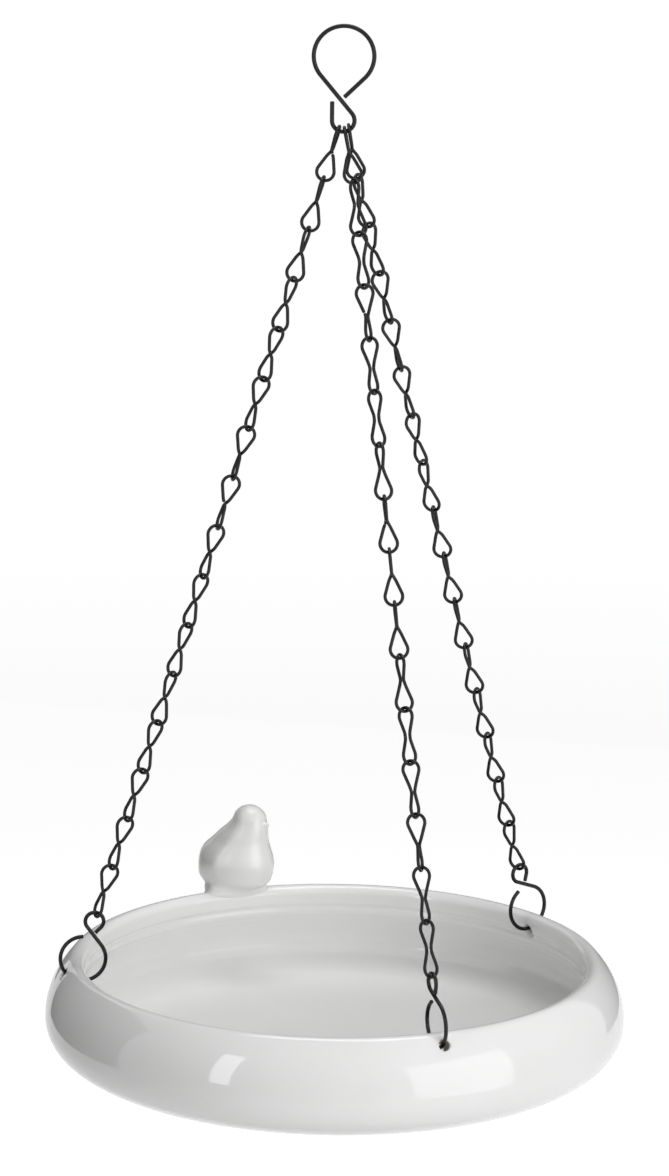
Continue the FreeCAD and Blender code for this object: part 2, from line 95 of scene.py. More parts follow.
def makeCamera(values):
    data = bpy.data.cameras.new("photoCamera")
    data.sensor_fit = "VERTICAL"
    data.sensor_height = values["sensor"]
    data.sensor_width = values["sensor"]
    data.lens = values["lens"]
    data.clip_end = values["farClip"]
    yaw, pitch, roll = (math.radians(values[k]) for k in ("yaw", "pitch", "roll"))
    right = Vector((math.cos(yaw), math.sin(yaw), 0.0))
    ahead = Vector((-math.sin(yaw) * math.cos(pitch), math.cos(yaw) * math.cos(pitch), -math.sin(pitch)))
    down = ahead.cross(right)
    across = right * math.cos(roll) + down * math.sin(roll)
    lowered = -right * math.sin(roll) + down * math.cos(roll)
    turn = Matrix((across, -lowered, -ahead)).transposed().to_4x4()
    camera = newObject("photoCamera", data)
    camera.matrix_world = Matrix.Translation(Vector(values["place"]) * mm) @ turn
    bpy.context.scene.camera = camera


makeCamera(cameraValues)
print("camera set")

# Materials
glazeValues = {
    "white": "#f0f0f0", "shade": "#e9e9e8",   # thick and thin glaze over a white body
    "clay": "#c6c0b5", "clayRoughness": 0.55,  # bare body where the glaze draws back in the holes
    "roughness": (0.03, 0.06), "ior": 1.52,
    "patchPitch": 55.0,                       # thick and thin patches, mm
    "wavePitch": 34.0, "waveHeight": 0.10,    # throwing waves in the glaze, mm
    "dimplePitch": 3.2, "dimpleHeight": 0.006,
}
birdGlazeValues = dict(glazeValues, white="#efefee", shade="#e6e6e4", roughness=(0.2, 0.3),
                       wavePitch=12.0, waveHeight=0.08)


def addNoise(tree, coords, pitch, detail):
    # noise whose patches lie about pitch millimetres apart
    return addNode(tree, "ShaderNodeTexNoise", None,
                   {"Vector": coords.outputs["Object"], "Scale": 1 / (pitch * mm), "Detail": detail})


def makeGlaze(name, values):
    # White glossy tin glaze on thrown stoneware or cast earthenware: clean softbox reflections
    # that waver a little, and faint darker, warmer patches where the glaze ran thin
    material, tree = newMaterial(name)
    coords = addNode(tree, "ShaderNodeTexCoord")
    patches = addNoise(tree, coords, values["patchPitch"], 3.0)
    colour = addNode(tree, "ShaderNodeMix", {"data_type": "RGBA"},
                     {0: patches.outputs[0], 6: fromHex(values["white"]), 7: fromHex(values["shade"])})
    gloss = addNode(tree, "ShaderNodeMapRange", None,
                    {"Value": patches.outputs[0], "To Min": values["roughness"][0],
                     "To Max": values["roughness"][1]})
    waves = addNoise(tree, coords, values["wavePitch"], 1.0)
    dimples = addNoise(tree, coords, values["dimplePitch"], 2.0)
    waveBump = addNode(tree, "ShaderNodeBump", None,
                       {"Height": waves.outputs[0], "Distance": values["waveHeight"] * mm})
    dimpleBump = addNode(tree, "ShaderNodeBump", None,
                         {"Height": dimples.outputs[0], "Distance": values["dimpleHeight"] * mm,
                          "Normal": waveBump.outputs[0]})
    bare = addNode(tree, "ShaderNodeAttribute", {"attribute_name": "bareClay"})
    body = addNode(tree, "ShaderNodeMix", {"data_type": "RGBA"},
                   {0: bare.outputs["Fac"], 6: colour.outputs[2], 7: fromHex(values["clay"])})
    matt = addNode(tree, "ShaderNodeMix", {"data_type": "FLOAT"},
                   {0: bare.outputs["Fac"], 2: gloss.outputs[0], 3: values["clayRoughness"]})
    shader = addNode(tree, "ShaderNodeBsdfPrincipled", None,
                     {"Base Color": body.outputs[2], "Roughness": matt.outputs[0],
                      "IOR": values["ior"], "Normal": dimpleBump.outputs[0]})
    addNode(tree, "ShaderNodeOutputMaterial", None, {"Surface": shader.outputs[0]})
    return material


wirePaintValues = {
    "black": "#0b0b0c", "worn": "#242322",
    "roughness": (0.14, 0.34), "ior": 1.36,
    "patchPitch": 4.0, "wornRange": (0.55, 0.75),  # rubbed patches, mm, and where they set in
    "grainPitch": 1.2, "grainHeight": 0.004,
}


def makeWirePaint(name, values):
    # Drawn steel wire with a thin black stove enamel: near black with narrow satin
    # highlights, and a touch greyer where the links rub
    material, tree = newMaterial(name)
    coords = addNode(tree, "ShaderNodeTexCoord")
    patches = addNoise(tree, coords, values["patchPitch"], 3.0)
    grain = addNoise(tree, coords, values["grainPitch"], 2.0)
    worn = addNode(tree, "ShaderNodeMapRange", None,
                   {"Value": patches.outputs[0], "From Min": values["wornRange"][0],
                    "From Max": values["wornRange"][1]})
    colour = addNode(tree, "ShaderNodeMix", {"data_type": "RGBA"},
                     {0: worn.outputs[0], 6: fromHex(values["black"]), 7: fromHex(values["worn"])})
    gloss = addNode(tree, "ShaderNodeMapRange", None,
                    {"Value": patches.outputs[0], "To Min": values["roughness"][0],
                     "To Max": values["roughness"][1]})
    bump = addNode(tree, "ShaderNodeBump", None,
                   {"Height": grain.outputs[0], "Distance": values["grainHeight"] * mm})
    shader = addNode(tree, "ShaderNodeBsdfPrincipled", None,
                     {"Base Color": colour.outputs[2], "Roughness": gloss.outputs[0],
                      "IOR": values["ior"], "Normal": bump.outputs[0]})
    addNode(tree, "ShaderNodeOutputMaterial", None, {"Surface": shader.outputs[0]})
    return material


bowlGlaze = makeGlaze("glazedStonewareWhite", glazeValues)
birdGlaze = makeGlaze("glazedCastEarthenwareWhite", birdGlazeValues)
wirePaint = makeWirePaint("enamelledSteelWireBlack", wirePaintValues)
print("materials made")


# Geometry trees
def newTree(name, inputs):
    # inputs: name -> socket kind
    tree = bpy.data.node_groups.new(name, "GeometryNodeTree")
    tree.interface.new_socket("Geometry", in_out="INPUT", socket_type="NodeSocketGeometry")
    for label, kind in inputs.items():
        tree.interface.new_socket(label, in_out="INPUT", socket_type=kind)
    tree.interface.new_socket("Geometry", in_out="OUTPUT", socket_type="NodeSocketGeometry")
    return tree, addNode(tree, "NodeGroupInput")


def runTree(name, source, tree, values):
    # runs a tree on an object and keeps the result as a plain mesh object
    modifier = source.modifiers.new(tree.name, "NODES")
    modifier.node_group = tree
    for item in tree.interface.items_tree:
        if item.item_type == "SOCKET" and item.in_out == "INPUT" and item.name in values:
            modifier[item.identifier] = values[item.name]
    graph = bpy.context.evaluated_depsgraph_get()
    mesh = bpy.data.meshes.new_from_object(source.evaluated_get(graph))
    source.modifiers.remove(modifier)
    mesh.name = name
    return newObject(name, mesh)


def dropObjects(objects):
    for obj in objects:
        bpy.data.objects.remove(obj)


def curveObject(name, lines):
    # lines: lists of (point, radius), points in millimetres
    data = bpy.data.curves.new(name, "CURVE")
    data.dimensions = "3D"
    for line in lines:
        spline = data.splines.new("POLY")
        spline.points.add(len(line) - 1)
        for point, (place, radius) in zip(spline.points, line):
            point.co = (*(Vector(place) * mm), 1.0)
            point.radius = radius
    return newObject(name, data)


def finishTree(tree, geometry, material):
    smooth = addNode(tree, "GeometryNodeSetShadeSmooth", None, {0: geometry})
    real = addNode(tree, "GeometryNodeRealizeInstances", None, {0: smooth.outputs[0]})
    painted = addNode(tree, "GeometryNodeSetMaterial", None, {0: real.outputs[0], "Material": material})
    addNode(tree, "NodeGroupOutput", None, {0: painted.outputs[0]})


def sweepWire(tree, curve, radius, sides):
    # a round bar with closed ends along a curve, whose own radius scales the bar's
    ring = addNode(tree, "GeometryNodeCurvePrimitiveCircle", None,
                   {"Radius": radius, "Resolution": sides})
    thick = addNode(tree, "GeometryNodeInputRadius")
    swept = addNode(tree, "GeometryNodeCurveToMesh", None,
                    {"Curve": curve, "Profile Curve": ring.outputs[0],
                     "Scale": thick.outputs[0], "Fill Caps": True})
    return swept.outputs[0]


wireTree, given = newTree("bentWire", {"Wire Radius": "NodeSocketFloat", "Sides": "NodeSocketInt",
                                       "Paint": "NodeSocketMaterial"})
finishTree(wireTree, sweepWire(wireTree, given.outputs["Geometry"], given.outputs["Wire Radius"],
                               given.outputs["Sides"]), given.outputs["Paint"])

chainTree, given = newTree("wireLinkChain", {"Link Lines": "NodeSocketCollection",
                                             "Wire Radius": "NodeSocketFloat",
                                             "Sides": "NodeSocketInt",
                                             "Paint": "NodeSocketMaterial"})
shapes = addNode(chainTree, "GeometryNodeCollectionInfo", None,
                 {"Collection": given.outputs["Link Lines"], "Separate Children": True,
                  "Reset Children": True})
turned = addNode(chainTree, "GeometryNodeInputNamedAttribute", {"data_type": "FLOAT_VECTOR"},
                 {"Name": "linkTurn"})
chosen = addNode(chainTree, "GeometryNodeInputNamedAttribute", {"data_type": "INT"},
                 {"Name": "linkShape"})
placed = addNode(chainTree, "GeometryNodeInstanceOnPoints", None,
                 {"Points": given.outputs["Geometry"], "Instance": shapes.outputs[0],
                  "Pick Instance": True, "Instance Index": chosen.outputs[0],
                  "Rotation": turned.outputs[0]})
loose = addNode(chainTree, "GeometryNodeRealizeInstances", None, {0: placed.outputs[0]})
finishTree(chainTree, sweepWire(chainTree, loose.outputs[0], given.outputs["Wire Radius"],
                                given.outputs["Sides"]), given.outputs["Paint"])

potTree, given = newTree("thrownBowl", {"Steps Round": "NodeSocketInt", "Lathe Radius": "NodeSocketFloat",
                                        "Hole Lines": "NodeSocketObject", "Hole Sides": "NodeSocketInt",
                                        "Glaze": "NodeSocketMaterial"})
lathe = addNode(potTree, "GeometryNodeCurvePrimitiveCircle", None,
                {"Radius": given.outputs["Lathe Radius"], "Resolution": given.outputs["Steps Round"]})
turnedPot = addNode(potTree, "GeometryNodeCurveToMesh", None,
                    {"Curve": lathe.outputs[0], "Profile Curve": given.outputs["Geometry"]})
joinedPot = addNode(potTree, "GeometryNodeMergeByDistance", None,
                    {0: turnedPot.outputs[0], "Distance": 0.01 * mm})  # closes the skin at the axis
holeLines = addNode(potTree, "GeometryNodeObjectInfo", {"transform_space": "RELATIVE"},
                    {"Object": given.outputs["Hole Lines"]})
drills = sweepWire(potTree, holeLines.outputs["Geometry"], 1 * mm, given.outputs["Hole Sides"])
bored = addNode(potTree, "GeometryNodeMeshBoolean", {"operation": "DIFFERENCE", "solver": "EXACT"},
                {"Mesh 1": joinedPot.outputs[0]})
potTree.links.new(drills, bored.inputs["Mesh 2"])
finishTree(potTree, bored.outputs[0], given.outputs["Glaze"])
print("trees made")

# The bowl
bowlValues = {
    "centre": (1.32, -3.19, -500.114),        # middle of the foot
    "bellyRadius": 140.0, "bellyHeight": 21.8, "bellyCurve": 18.0, "baseRadius": 111.0,
    "rimHeight": 50.4, "lipRadius": 4.25, "shoulderTurn": 46.17, "wall": 7.5,
    # inner face from the lip down, as depth under the rim and radius: an upright band,
    # a soft groove and ridge, and the wall that draws back below them
    "innerFace": [(4.25, 121.12), (7.0, 121.1), (8.7, 121.3), (9.8, 122.1), (10.8, 122.7),
                  (11.8, 122.6), (12.9, 122.3), (14.1, 122.7), (16.2, 124.1), (20.0, 126.6),
                  (24.5, 129.2), (29.0, 131.0), (33.0, 130.9), (36.9, 128.5)],
    # the foot ring: its inner radius, the recess inside it, and how its edges are rounded
    "footInner": 98.0, "footRecess": 1.6, "recessFillet": 0.8, "footEdge": 0.6,
    "recessRows": (0, 30, 70), "floorRows": (100, 80, 55, 28, 0),  # radii of flat rows of faces
    "recessInset": 2.5, "footFlat": (4.0, 3.0),    # how far flat rows keep from the ring's edges
    "holeRadius": 2.6, "holeTilt": 31.0, "holeDepth": {"left": 6.9, "front": 6.6, "rear": 5.4},
    "bareReach": (2.62, 2.95),                # bare clay inside the hook holes, from their axis
    # each drill opens a little at the wall's two faces: way from the middle, extra radius
    "holeFlare": [(3.0, 0.0), (3.6, 0.06), (4.1, 0.2), (4.6, 0.45), (5.2, 0.8), (14, 1.2)],
    "latheRadius": 100.0,                     # any circle that the section can be turned along
    # rows of faces: round the bowl, round a hook hole and along each part of the section
    "stepsRound": 360, "holeSides": 48, "footSteps": 4, "cornerSteps": 22, "bellySteps": 12,
    "shoulderSteps": 30, "lipSteps": 22, "innerSteps": 72, "floorSteps": 18,
}
bearings = {"left": 187.4, "front": 292.8, "rear": 38.2}
bowlCentre = Vector(bowlValues["centre"])
shoulderAngle = math.radians(bowlValues["shoulderTurn"])
wallCurve = (bowlValues["rimHeight"] - bowlValues["lipRadius"]
             - bowlValues["bellyHeight"]) / math.sin(shoulderAngle)
shoulderCurve = wallCurve + bowlValues["lipRadius"]
shoulderRadius = bowlValues["bellyRadius"] - shoulderCurve
lipCentreRadius = shoulderRadius + wallCurve * math.cos(shoulderAngle)
holeTilt = math.radians(bowlValues["holeTilt"])
holeMiddles, holeWays = {}, {}
for side, bearing in bearings.items():
    height = bowlValues["rimHeight"] - bowlValues["holeDepth"][side]
    reach = shoulderRadius + wallCurve * math.cos(
        math.asin((height - bowlValues["bellyHeight"]) / wallCurve))
    holeMiddles[side] = polar(reach, bearing) + Vector((0, 0, height))
    holeWays[side] = polar(math.cos(holeTilt), bearing) + Vector((0, 0, math.sin(holeTilt)))


def easeBetween(low, high, value):
    # 0 up to low, 1 from high on, smooth between
    t = min(max((value - low) / (high - low), 0.0), 1.0)
    return t * t * (3 - 2 * t)


def smoothRow(rows, at):
    # Catmull-Rom between rows whose first value is the place to look up
    for i in range(len(rows) - 1):
        if rows[i][0] <= at <= rows[i + 1][0]:
            a, b, c, d = rows[max(i - 1, 0)], rows[i], rows[i + 1], rows[min(i + 2, len(rows) - 1)]
            t = (at - b[0]) / (c[0] - b[0])
            return [0.5 * (2 * q + (r - p) * t + (2 * p - 5 * q + 4 * r - s) * t * t
                           + (3 * q - p - 3 * r + s) * t ** 3)
                    for p, q, r, s in zip(a[1:], b[1:], c[1:], d[1:])]
    return rows[0][1:] if at < rows[0][0] else rows[-1][1:]


def bowlOutline(v):
    # the turned section from the middle of the underside round to the middle of the floor
    bellyZ, lip, wall = v["bellyHeight"], v["lipRadius"], v["wall"]
    run = v["bellyRadius"] - v["bellyCurve"] - v["baseRadius"]
    cornerAngle = 2 * math.atan2(run, bellyZ - v["bellyCurve"]) - math.pi / 2
    cornerCurve = v["bellyCurve"] + run / math.cos(cornerAngle)
    corner = (v["baseRadius"], cornerCurve)
    belly = (v["bellyRadius"] - v["bellyCurve"], bellyZ)
    shoulder = (shoulderRadius, bellyZ)
    lipCentre = (lipCentreRadius, v["rimHeight"] - lip)
    down = -math.pi / 2
    inner, recess, fillet, edge = v["footInner"], v["footRecess"], v["recessFillet"], v["footEdge"]
    points = [(radius, recess) for radius in (*v["recessRows"], inner - v["recessInset"])]
    points += arcPoints((inner - 1.5 * fillet, recess - fillet), fillet, math.pi / 2, 0, v["footSteps"])
    points += arcPoints((inner + edge, edge), edge, math.pi, 1.5 * math.pi, v["footSteps"])
    points += [(inner + v["footFlat"][0], 0), (v["baseRadius"] - v["footFlat"][1], 0)]
    points += arcPoints(corner, cornerCurve, down, -cornerAngle, v["cornerSteps"])
    points += arcPoints(belly, v["bellyCurve"], -cornerAngle, 0, v["bellySteps"])[1:]
    points += arcPoints(shoulder, shoulderCurve, 0, shoulderAngle, v["shoulderSteps"])[1:]
    points += arcPoints(lipCentre, lip, shoulderAngle, math.pi, v["lipSteps"])[1:]
    top, foot, steps = v["innerFace"][0][0], v["innerFace"][-1][0], v["innerSteps"]
    for i in range(1, steps + 1):
        depth = top + (foot - top) * i / steps
        points.append((smoothRow(v["innerFace"], depth)[0], v["rimHeight"] - depth))
    points += arcPoints(corner, cornerCurve - wall, -cornerAngle, down, v["floorSteps"])[1:]
    points += [(radius, wall) for radius in v["floorRows"]]
    return points


def makeBowl(v):
    latheRadius = v["latheRadius"]
    outline = curveObject("bowlOutline", [[((r - latheRadius, -z, 0), 1.0) for r, z in bowlOutline(v)]])
    widths = [(-along, more) for along, more in reversed(v["holeFlare"])] + v["holeFlare"]
    lines = [[(holeMiddles[side] + holeWays[side] * along, v["holeRadius"] + more)
              for along, more in widths] for side in bearings]
    holes = curveObject("hookHoleLines", lines)
    bowl = runTree("bowl", outline, potTree,
                   {"Steps Round": v["stepsRound"], "Lathe Radius": latheRadius * mm,
                    "Hole Lines": holes, "Hole Sides": v["holeSides"], "Glaze": bowlGlaze})
    dropObjects([outline, holes])
    bareClay = bowl.data.attributes.new("bareClay", "FLOAT", "POINT")
    for vertex, bare in zip(bowl.data.vertices, bareClay.data):
        for side in bearings:
            offset = vertex.co / mm - holeMiddles[side]
            if offset.length < 3 * v["wall"]:
                off = offset.cross(holeWays[side]).length
                bare.value = 1 - easeBetween(*v["bareReach"], off)
    bowl.data.transform(Matrix.Translation(bowlCentre * mm))
    return bowl


bowl = makeBowl(bowlValues)
print("bowl", len(bowl.data.polygons), "faces", [round(c, 4) for c in bowl.dimensions])

# Bent wire hooks
topHookValues = {"wire": 2.05, "upperRadius": 14.1, "lowerRadius": 5.25, "centres": 30.2,
                 "upperTail": 12.9, "lowerTail": 8.7, "upperTurn": 46.0, "lowerTurn": 0.0}
rimHookValues = {"wire": 1.9, "upperRadius": 4.4, "lowerRadius": 10.9, "centres": 19.2,
                 "upperTail": 3.4, "lowerTail": 1.0, "upperTurn": 30.0, "lowerTurn": 68.0,
                 "mouthClearance": 0.52}
hookSteps = {"upper": 72, "lower": 60, "straight": 6, "sides": 20}
# cut ends: length as a share of the wire's width, then rows of way out and share of its radius
cutEnd = {"length": 0.12, "rows": [(1.0, 0.62), (0.55, 0.9)]}


def hookLine(v):
    # centre line in the hook's own plane (across, up), free end to free end
    upperTurn, lowerTurn = math.radians(v["upperTurn"]), math.radians(v["lowerTurn"])
    slant = math.asin((v["upperRadius"] + v["lowerRadius"]) / v["centres"])
    upper = arcPoints((0, 0), v["upperRadius"], -upperTurn, math.pi + slant, hookSteps["upper"])
    lower = arcPoints((0, -v["centres"]), v["lowerRadius"], slant, -math.pi - lowerTurn,
                      hookSteps["lower"])
    upperTip = (upper[0][0] - math.sin(upperTurn) * v["upperTail"],
                upper[0][1] - math.cos(upperTurn) * v["upperTail"])
    lowerTip = (lower[-1][0] + math.sin(lowerTurn) * v["lowerTail"],
                lower[-1][1] + math.cos(lowerTurn) * v["lowerTail"])
    return ([upperTip] + between(upperTip, upper[0]) + upper + between(upper[-1], lower[0])
            + lower + between(lower[-1], lowerTip) + [lowerTip])


def between(start, end):
    # the points inside a straight stretch of a hook, without its two ends
    steps = hookSteps["straight"]
    return [(start[0] + (end[0] - start[0]) * i / steps, start[1] + (end[1] - start[1]) * i / steps)
            for i in range(1, steps)]


def tipped(points, wire):
    # adds the slightly rounded cut ends that side cutters leave
    first, last = points[0], points[-1]
    inward, outward = (points[1] - first).normalized(), (last - points[-2]).normalized()
    edge = wire * cutEnd["length"]
    start = [(first - inward * edge * out, share) for out, share in cutEnd["rows"]]
    end = [(last + outward * edge * out, share) for out, share in reversed(cutEnd["rows"])]
    return start + [(p, 1.0) for p in points] + end


def framed(place, xWay, zWay):
    # a placing with its z along zWay and its x as near to xWay as it can be
    zAxis = zWay.normalized()
    yAxis = zAxis.cross(xWay).normalized()
    xAxis = yAxis.cross(zAxis)
    return Matrix.Translation(place) @ Matrix((xAxis, yAxis, zAxis)).transposed().to_4x4()


def makeHook(name, v, placing):
    line = [placing @ Vector((x, 0.0, z)) for x, z in hookLine(v)]
    curve = curveObject(name + "Line", [tipped(line, v["wire"])])
    hook = runTree(name, curve, wireTree,
                   {"Wire Radius": v["wire"] / 2 * mm, "Sides": hookSteps["sides"], "Paint": wirePaint})
    dropObjects([curve])
    return hook


topUpperZ = topHookValues["wire"] / 2 - topHookValues["upperRadius"]
topLowerZ = topUpperZ - topHookValues["centres"]
topHook = makeHook("topHook", topHookValues, Matrix.Translation((0, 0, topUpperZ)))

# Chains and rim hooks
linkValues = {"wire": 1.6, "eyeRadius": 4.1, "waistSpread": 1.56, "waistRise": 1.5,
              "waistBend": 5.0, "cutGap": 0.4, "clearance": 0.12, "bendClearance": 0.2, "sag": 0.9,
              "eyeSteps": 26, "bendSteps": 6, "sides": 12}
linksPerChain = 16
chainValues = {
    "left": {"seat": -33.0, "firstSet": (0, 0, 0), "openGaps": {1: 1.0, 8: 0.9}, "slantOutside": False,
             "turns": [80, 80, 73, 56, 42, 25, 10, 12, 26, 38, 47, 55, 41, 27, 28, 22]},
    "front": {"seat": 10.0, "firstSet": (1.9, 0.4, 0), "openGaps": {4: 1.3, 8: 0.9}, "slantOutside": True,
              "turns": [-90, -62, -38, -18, -30, -46, -66, -84, -90, -86, -66, -44, -27, -14, -27, -45]},
    "rear": {"seat": 50.0, "firstSet": (-1.5, -0.6, 0), "openGaps": {3: 0.8}, "slantOutside": True,
             "turns": [90, 62, 42, 24, 16, 24, 40, 60, 80, 82, 84, 78, 68, 68, 61, 52]},
}
seatRadius = (topHookValues["lowerRadius"] - topHookValues["wire"] / 2 - linkValues["wire"] / 2
              - linkValues["bendClearance"])
linkOverlap = linkValues["wire"] + linkValues["clearance"]
hookToLink = (rimHookValues["wire"] + linkValues["wire"]) / 2 + linkValues["clearance"]


def linkLine(half, gap, v):
    # the centre line of one link: an upper eye, a crossing waist and a lower eye a quarter turn on
    eye, spread, rise, bend = v["eyeRadius"], v["waistSpread"], v["waistRise"], v["waistBend"]
    eyeZ = half - eye
    legFoot = Vector((spread, 0, rise))
    side = math.atan2(rise - eyeZ, spread) + math.acos(eye / math.hypot(spread, eyeZ - rise))
    legTop = Vector((eye * math.cos(side), 0, eyeZ + eye * math.sin(side)))

    def mirrored(p):
        return Vector((-p.x, p.y, p.z))

    def lower(p):
        return Vector((p.y, p.x, -p.z))

    def rounded(before, corner, after):
        first, second = (before - corner).normalized(), (after - corner).normalized()
        halfTurn = (math.pi - first.angle(second)) / 2
        centre = corner + (first + second).normalized() * (bend / math.cos(halfTurn))
        entry = corner + first * bend * math.tan(halfTurn)
        leave = corner + second * bend * math.tan(halfTurn)
        start, end = (entry - centre).normalized(), (leave - centre).normalized()
        steps = v["bendSteps"]
        return [centre + start.slerp(end, i / steps) * bend for i in range(steps + 1)]

    def eyeArc(flip):
        # over the top of the eye from one side tangent to the other
        arc = arcPoints((0, eyeZ), eye, side, math.pi - side, v["eyeSteps"])
        line = [Vector((x, 0, z)) for x, z in arc]
        return [lower(p) for p in line] if flip else line

    cutFoot = mirrored(legFoot)
    middle = (cutFoot + lower(cutFoot)) * 0.5
    way = (lower(cutFoot) - cutFoot).normalized()
    upperCut, lowerCut = middle - way * (gap / 2), middle + way * (gap / 2)
    top = list(reversed(eyeArc(False)))        # from the cut side over to the through side
    bottom = eyeArc(True)
    line = [upperCut]
    line += list(reversed(rounded(mirrored(legTop), cutFoot, lower(cutFoot))))
    line += top
    line += rounded(legTop, legFoot, lower(legFoot))
    line += rounded(legFoot, lower(legFoot), lower(legTop))
    line += bottom
    line += rounded(lower(mirrored(legTop)), lower(cutFoot), cutFoot)
    line += [lowerCut]
    return line


def chainPlaces(first, last, firstSet):
    # the bearing points down a chain that hangs straight but for a slight sag
    span = last - first
    second = first + span.normalized() * (span.length / linksPerChain) + firstSet
    count = linksPerChain - 1
    pitch = (last - second).length / count
    drop = math.sqrt(pitch ** 2 - (second.x - first.x) ** 2 - (second.y - first.y) ** 2)
    second.z = first.z - drop
    rest = last - second
    pitch = rest.length / count
    way = rest.normalized()
    sagWay = (Vector((0, 0, -1)) + way * way.z).normalized()
    places = [first]
    for number in range(linksPerChain):
        along = number / count
        places.append(second + rest * along + sagWay * (4 * linkValues["sag"] * along * (1 - along)))
    return places, pitch


def makeChain(side, first, last, v):
    places, pitch = chainPlaces(first, last, Vector(v["firstSet"]))
    half = (pitch + linkOverlap) / 2
    gaps = sorted({linkValues["cutGap"], *v["openGaps"].values()})
    lines = bpy.data.collections.new(side + "LinkLines")
    helpers = []
    for index, gap in enumerate(gaps):
        points = linkLine(half, gap, linkValues)
        helper = curveObject("%sLinkLine%d" % (side, index), [tipped(points, linkValues["wire"])])
        bpy.context.scene.collection.objects.unlink(helper)
        lines.objects.link(helper)
        helpers.append(helper)
    mesh = bpy.data.meshes.new(side + "LinkCentres")
    centres, turns, kinds = [], [], []
    for number in range(1, linksPerChain + 1):
        top, following = places[number - 1], places[number]
        up = (top - following).normalized()
        placing = framed(top - up * half, polar(1.0, v["turns"][number - 1]), up)
        centres.append(placing.translation * mm)
        turns.append(placing.to_euler())
        kinds.append(gaps.index(v["openGaps"].get(number, linkValues["cutGap"])))
    mesh.from_pydata(centres, [], [])
    mesh.attributes.new("linkTurn", "FLOAT_VECTOR", "POINT")
    mesh.attributes.new("linkShape", "INT", "POINT")
    for index in range(linksPerChain):
        mesh.attributes["linkTurn"].data[index].vector = turns[index]
        mesh.attributes["linkShape"].data[index].value = kinds[index]
    points = newObject(side + "LinkCentres", mesh)
    chain = runTree(side + "Chain", points, chainTree,
                    {"Link Lines": lines, "Wire Radius": linkValues["wire"] / 2 * mm,
                     "Sides": linkValues["sides"], "Paint": wirePaint})
    dropObjects([points] + helpers)
    bpy.data.collections.remove(lines)
    return chain


loopRadius = rimHookValues["lowerRadius"]
mouthRise = loopRadius - math.sqrt(loopRadius ** 2 - bowlValues["lipRadius"] ** 2)
loopLift = (bowlValues["holeRadius"] - rimHookValues["wire"] / 2 - mouthRise
            - rimHookValues["mouthClearance"])
loopOffset = loopRadius + loopLift
chains, rimHooks = {}, {}
for side, v in chainValues.items():
    outward = polar(1.0, bearings[side])
    loopWay = Vector((0, 0, math.cos(holeTilt))) - outward * math.sin(holeTilt)
    loopCentre = bowlCentre + holeMiddles[side] + loopWay * loopOffset
    seat = math.radians(v["seat"])
    firstTop = Vector((seatRadius * math.sin(seat), 0, topLowerZ - seatRadius * math.cos(seat)))
    up = (firstTop - loopCentre).normalized()
    upperCentre = loopCentre + up * rimHookValues["centres"]
    lastTop = upperCentre + up * (rimHookValues["upperRadius"] + linkOverlap - hookToLink)
    chains[side] = makeChain(side, firstTop, lastTop, v)
    slantWay = outward if v["slantOutside"] else -outward
    rimHooks[side] = makeHook(side + "RimHook", rimHookValues, framed(upperCentre, slantWay, up))
print("wire made", [len(c.data.polygons) for c in chains.values()])

# The bird
birdValues = {
    "bearing": 112.8, "heading": -30.0,
    # height above the rim, forward offset, half length, half width
    "stations": [(-2.0, -2.6, 17.2, 7.4), (2.0, -2.9, 18.6, 11.2), (6.0, -3.1, 19.7, 14.3),
                 (10.0, -2.7, 20.2, 16.2), (14.0, -2.4, 20.2, 16.7), (18.0, -2.3, 19.4, 16.1),
                 (22.0, -1.7, 17.6, 14.6), (26.0, 0.1, 15.0, 12.6), (30.0, 2.0, 12.9, 11.1),
                 (34.0, 4.2, 10.5, 9.4), (38.0, 5.4, 8.6, 8.3)],
    # the rounded top of the head: from and to height, how far its ellipsoid's middle lies
    # below the first, and the angle short of upright at which its last row ends
    "crown": (38.0, 44.4), "crownSunk": 2.0, "crownEnd": 0.03,
    # foot along the rim: height, half length, half width; it thins out onto the lip below
    "footRows": [(-4.2, 17.6, 3.9), (-2.2, 17.6, 5.0), (-0.6, 17.2, 5.9), (1.2, 16.9, 6.5),
                 (3.5, 17.7, 7.4), (6.5, 19.2, 8.6)],
    "footShift": -1.8, "footSquareness": 2.7,
    "footBlend": (-1.4, 6.2),                 # heights over which the body draws in to its foot
    "backSharpness": 1.75,                    # under 2 the flanks behind the wing edge lie flatter
    "backBlend": 3.0,                         # how soon after the widest point that sets in
    # wing edge: heights of its low and high end, turn from the beak at each, spread in degrees,
    # the spread behind as a multiple of that, how far it stands out, and the heights over
    # which it comes in and goes out, from each end
    "wingEnds": (14.0, 34.0), "wingTurns": (97.0, 76.0), "wingSpread": (9.0, 2.6),
    "wingRaised": 0.85, "wingComesIn": (-5.0, 3.0), "wingGoesOut": (-4.0, 2.0),
    # beak: root and tip, the radius at each, height as a share of width, and its rounding
    "beak": ((12.4, 0, 36.2), (17.3, 0, 34.9), 2.3, 0.5), "beakFlatness": 0.8,
    "beakRows": 12, "beakRounded": 9, "beakRounding": (3.2, 0.02), "beakSides": 24,
    "tail": ((-16.4, 0.8, 1.2), (7.0, 4.6, 3.2), -66.0), "tailSegments": (40, 24),
    "bodyRows": 80, "crownRows": 24, "bodySides": 120,
    "voxel": 0.45, "softening": (0.5, 6),     # millimetres; factor and passes
}


